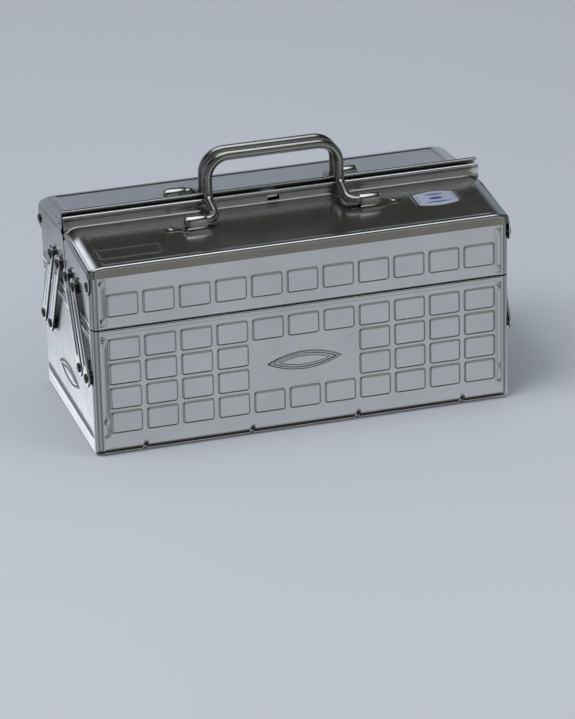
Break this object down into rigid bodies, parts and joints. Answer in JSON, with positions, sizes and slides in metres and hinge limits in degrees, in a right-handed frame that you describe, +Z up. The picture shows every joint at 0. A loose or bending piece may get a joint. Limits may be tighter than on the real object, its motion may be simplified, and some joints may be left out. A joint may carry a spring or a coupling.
{
  "type": "two-stage cantilever sewing box",
  "caption": "Pressed steel sewing box whose trays swing out on parallel arms, with a hinged lid on each tray and folding rod handles.",
  "frame": {"origin": "middle of the underside, on the surface that the box stands on", "axes": "+X along the box to the right as seen from the front, +Y to the back, +Z up"},
  "size_m": [0.3598, 0.1706, 0.218],
  "materials": {
    "painted_sheet": "silver metallic paint, semi-gloss",
    "lid_sheet": "silver metallic paint, semi-gloss",
    "arm_steel": "bright zinc plate",
    "rivet_steel": "dark plated steel",
    "bracket_steel": "nickel plate",
    "handle_rod": "silver metallic paint on rod",
    "label": null
  },
  "bodies": {
    "base": {"body_wrap": "painted_sheet", "body_end_left": "painted_sheet", "body_end_right": "painted_sheet", "body_rivets_left": "rivet_steel", "body_rivets_right": "rivet_steel", "body_washers_left": "rivet_steel", "body_washers_right": "rivet_steel"},
    "front_outer_arms": {"front_outer_arm_left": "arm_steel", "front_outer_arm_right": "arm_steel"},
    "front_inner_arms": {"front_inner_arm_left": "arm_steel", "front_inner_arm_right": "arm_steel"},
    "front_tray": {"front_tray_wrap": "painted_sheet", "front_tray_end_left": "painted_sheet", "front_tray_end_right": "painted_sheet", "front_tray_dividers": "painted_sheet", "front_tray_rivets": "rivet_steel", "front_tray_washers": "rivet_steel", "front_lid_pivots": "rivet_steel"},
    "front_lid": {"front_lid": "lid_sheet", "front_ridge_strip": "lid_sheet", "front_lid_brackets": "bracket_steel", "front_bracket_rivets": "rivet_steel", "front_label": "label"},
    "front_handle": {"front_handle": "handle_rod"},
    "rear_outer_arms": {"rear_outer_arm_left": "arm_steel", "rear_outer_arm_right": "arm_steel"},
    "rear_inner_arms": {"rear_inner_arm_left": "arm_steel", "rear_inner_arm_right": "arm_steel"},
    "rear_tray": {"rear_tray_wrap": "painted_sheet", "rear_tray_end_left": "painted_sheet", "rear_tray_end_right": "painted_sheet", "rear_tray_dividers": "painted_sheet", "rear_tray_rivets": "rivet_steel", "rear_tray_washers": "rivet_steel", "rear_lid_pivots": "rivet_steel"},
    "rear_lid": {"rear_lid": "lid_sheet", "rear_ridge_strip": "lid_sheet", "rear_lid_brackets": "bracket_steel", "rear_bracket_rivets": "rivet_steel"},
    "rear_handle": {"rear_handle": "handle_rod"}
  },
  "joints": [
    {"name": "front_swing", "type": "hinge", "parent": "base", "child": "front_outer_arms", "pos_m": [0, -0.0715, 0.0655], "axis": [1, 0, 0], "range_deg": [0, 54.5]},
    {"name": "front_level", "type": "hinge", "parent": "front_outer_arms", "child": "front_tray", "pos_m": [0, -0.0375, 0.131], "axis": [1, 0, 0], "range_deg": [-54.5, 0]},
    {"name": "front_inner_swing", "type": "hinge", "parent": "base", "child": "front_inner_arms", "pos_m": [0, -0.0485, 0.0655], "axis": [1, 0, 0], "range_deg": [0, 54.5]},
    {"name": "front_lid_hinge", "type": "hinge", "parent": "front_tray", "child": "front_lid", "pos_m": [0, -0.078, 0.1465], "axis": [1, 0, 0], "range_deg": [0, 103]},
    {"name": "front_handle_fold", "type": "hinge", "parent": "front_lid", "child": "front_handle", "pos_m": [0, -0.032, 0.171], "axis": [1, 0, 0], "range_deg": [0, 124]},
    {"name": "rear_swing", "type": "hinge", "parent": "base", "child": "rear_outer_arms", "pos_m": [0, 0.0715, 0.0655], "axis": [-1, 0, 0], "range_deg": [0, 54.5]},
    {"name": "rear_level", "type": "hinge", "parent": "rear_outer_arms", "child": "rear_tray", "pos_m": [0, 0.0375, 0.131], "axis": [-1, 0, 0], "range_deg": [-54.5, 0]},
    {"name": "rear_inner_swing", "type": "hinge", "parent": "base", "child": "rear_inner_arms", "pos_m": [0, 0.0485, 0.0655], "axis": [-1, 0, 0], "range_deg": [0, 54.5]},
    {"name": "rear_lid_hinge", "type": "hinge", "parent": "rear_tray", "child": "rear_lid", "pos_m": [0, 0.078, 0.1465], "axis": [-1, 0, 0], "range_deg": [0, 103]},
    {"name": "rear_handle_fold", "type": "hinge", "parent": "rear_lid", "child": "rear_handle", "pos_m": [0, 0.032, 0.171], "axis": [-1, 0, 0], "range_deg": [0, 124]}
  ],
  "couplings": [
    {"joint": "front_level", "follows": "front_swing", "ratio": -1},
    {"joint": "front_inner_swing", "follows": "front_swing", "ratio": 1},
    {"joint": "rear_level", "follows": "rear_swing", "ratio": -1},
    {"joint": "rear_inner_swing", "follows": "rear_swing", "ratio": 1}
  ]
}
